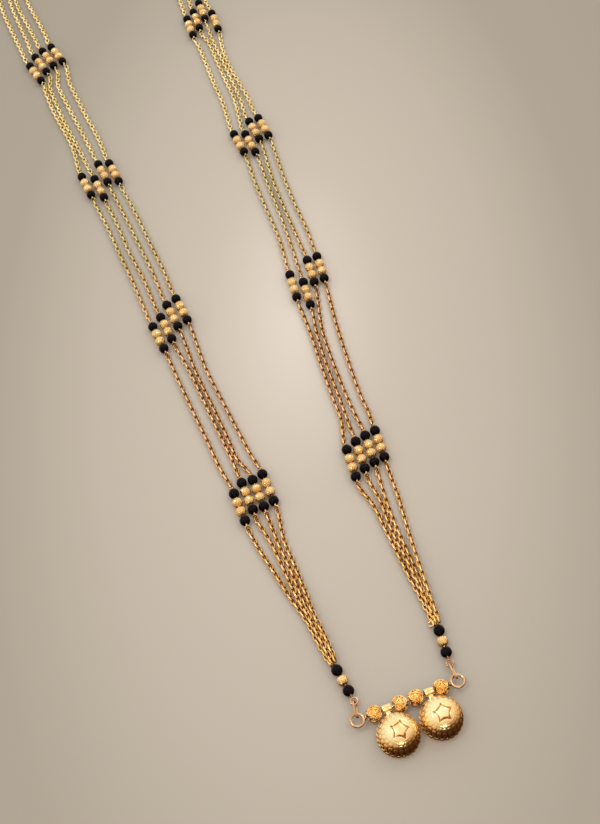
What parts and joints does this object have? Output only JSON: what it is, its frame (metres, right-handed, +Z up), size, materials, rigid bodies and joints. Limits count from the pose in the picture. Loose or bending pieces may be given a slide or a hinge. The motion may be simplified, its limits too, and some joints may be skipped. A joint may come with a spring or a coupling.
{
  "type": "mangalsutra necklace",
  "caption": "Long gold and black bead mangalsutra lying flat: hollow bowl pendants on a beaded bar, hung from fine cable chains.",
  "frame": {"origin": "middle of the part's box in plan, on the surface that the necklace lies on", "axes": "+Y from the bowls to the clasp, +Z up from the surface, +X to the wearer's left as drawn (the viewer's right)"},
  "size_m": [0.07, 0.3612, 0.0067],
  "materials": {
    "bowl gold": "polished",
    "ball gold": "polished",
    "bead gold": "diamond cut",
    "wire gold": "polished",
    "chain gold": "polished",
    "black bead": "glossy glass"
  },
  "bodies": {
    "root": {"pendant_wire": "wire gold", "clasp": "bowl gold", "bar_ball_1": "ball gold", "bar_ball_2": "ball gold", "bar_ball_3": "ball gold", "bar_ball_4": "ball gold", "bowl_left": "bowl gold", "link_left": "chain gold", "drop_pin_left": "chain gold", "drop_black_left": "black bead", "drop_gold_left": "bead gold", "end_ring_left": "wire gold", "black_beads_left_1": "black bead", "gold_beads_left_1": "bead gold", "black_beads_left_2": "black bead", "gold_beads_left_2": "bead gold", "black_beads_left_3": "black bead", "gold_beads_left_3": "bead gold", "black_beads_left_4": "black bead", "gold_beads_left_4": "bead gold", "black_beads_left_5": "black bead", "gold_beads_left_5": "bead gold", "chain_left_1": "chain gold", "chain_left_2": "chain gold", "chain_left_3": "chain gold", "chain_left_4": "chain gold", "bowl_right": "bowl gold", "link_right": "chain gold", "drop_pin_right": "chain gold", "drop_black_right": "black bead", "drop_gold_right": "bead gold", "end_ring_right": "wire gold", "black_beads_right_1": "black bead", "gold_beads_right_1": "bead gold", "black_beads_right_2": "black bead", "gold_beads_right_2": "bead gold", "black_beads_right_3": "black bead", "gold_beads_right_3": "bead gold", "black_beads_right_4": "black bead", "gold_beads_right_4": "bead gold", "black_beads_right_5": "black bead", "gold_beads_right_5": "bead gold", "chain_right_1": "chain gold", "chain_right_2": "chain gold", "chain_right_3": "chain gold", "chain_right_4": "chain gold"}
  },
  "joints": []
}
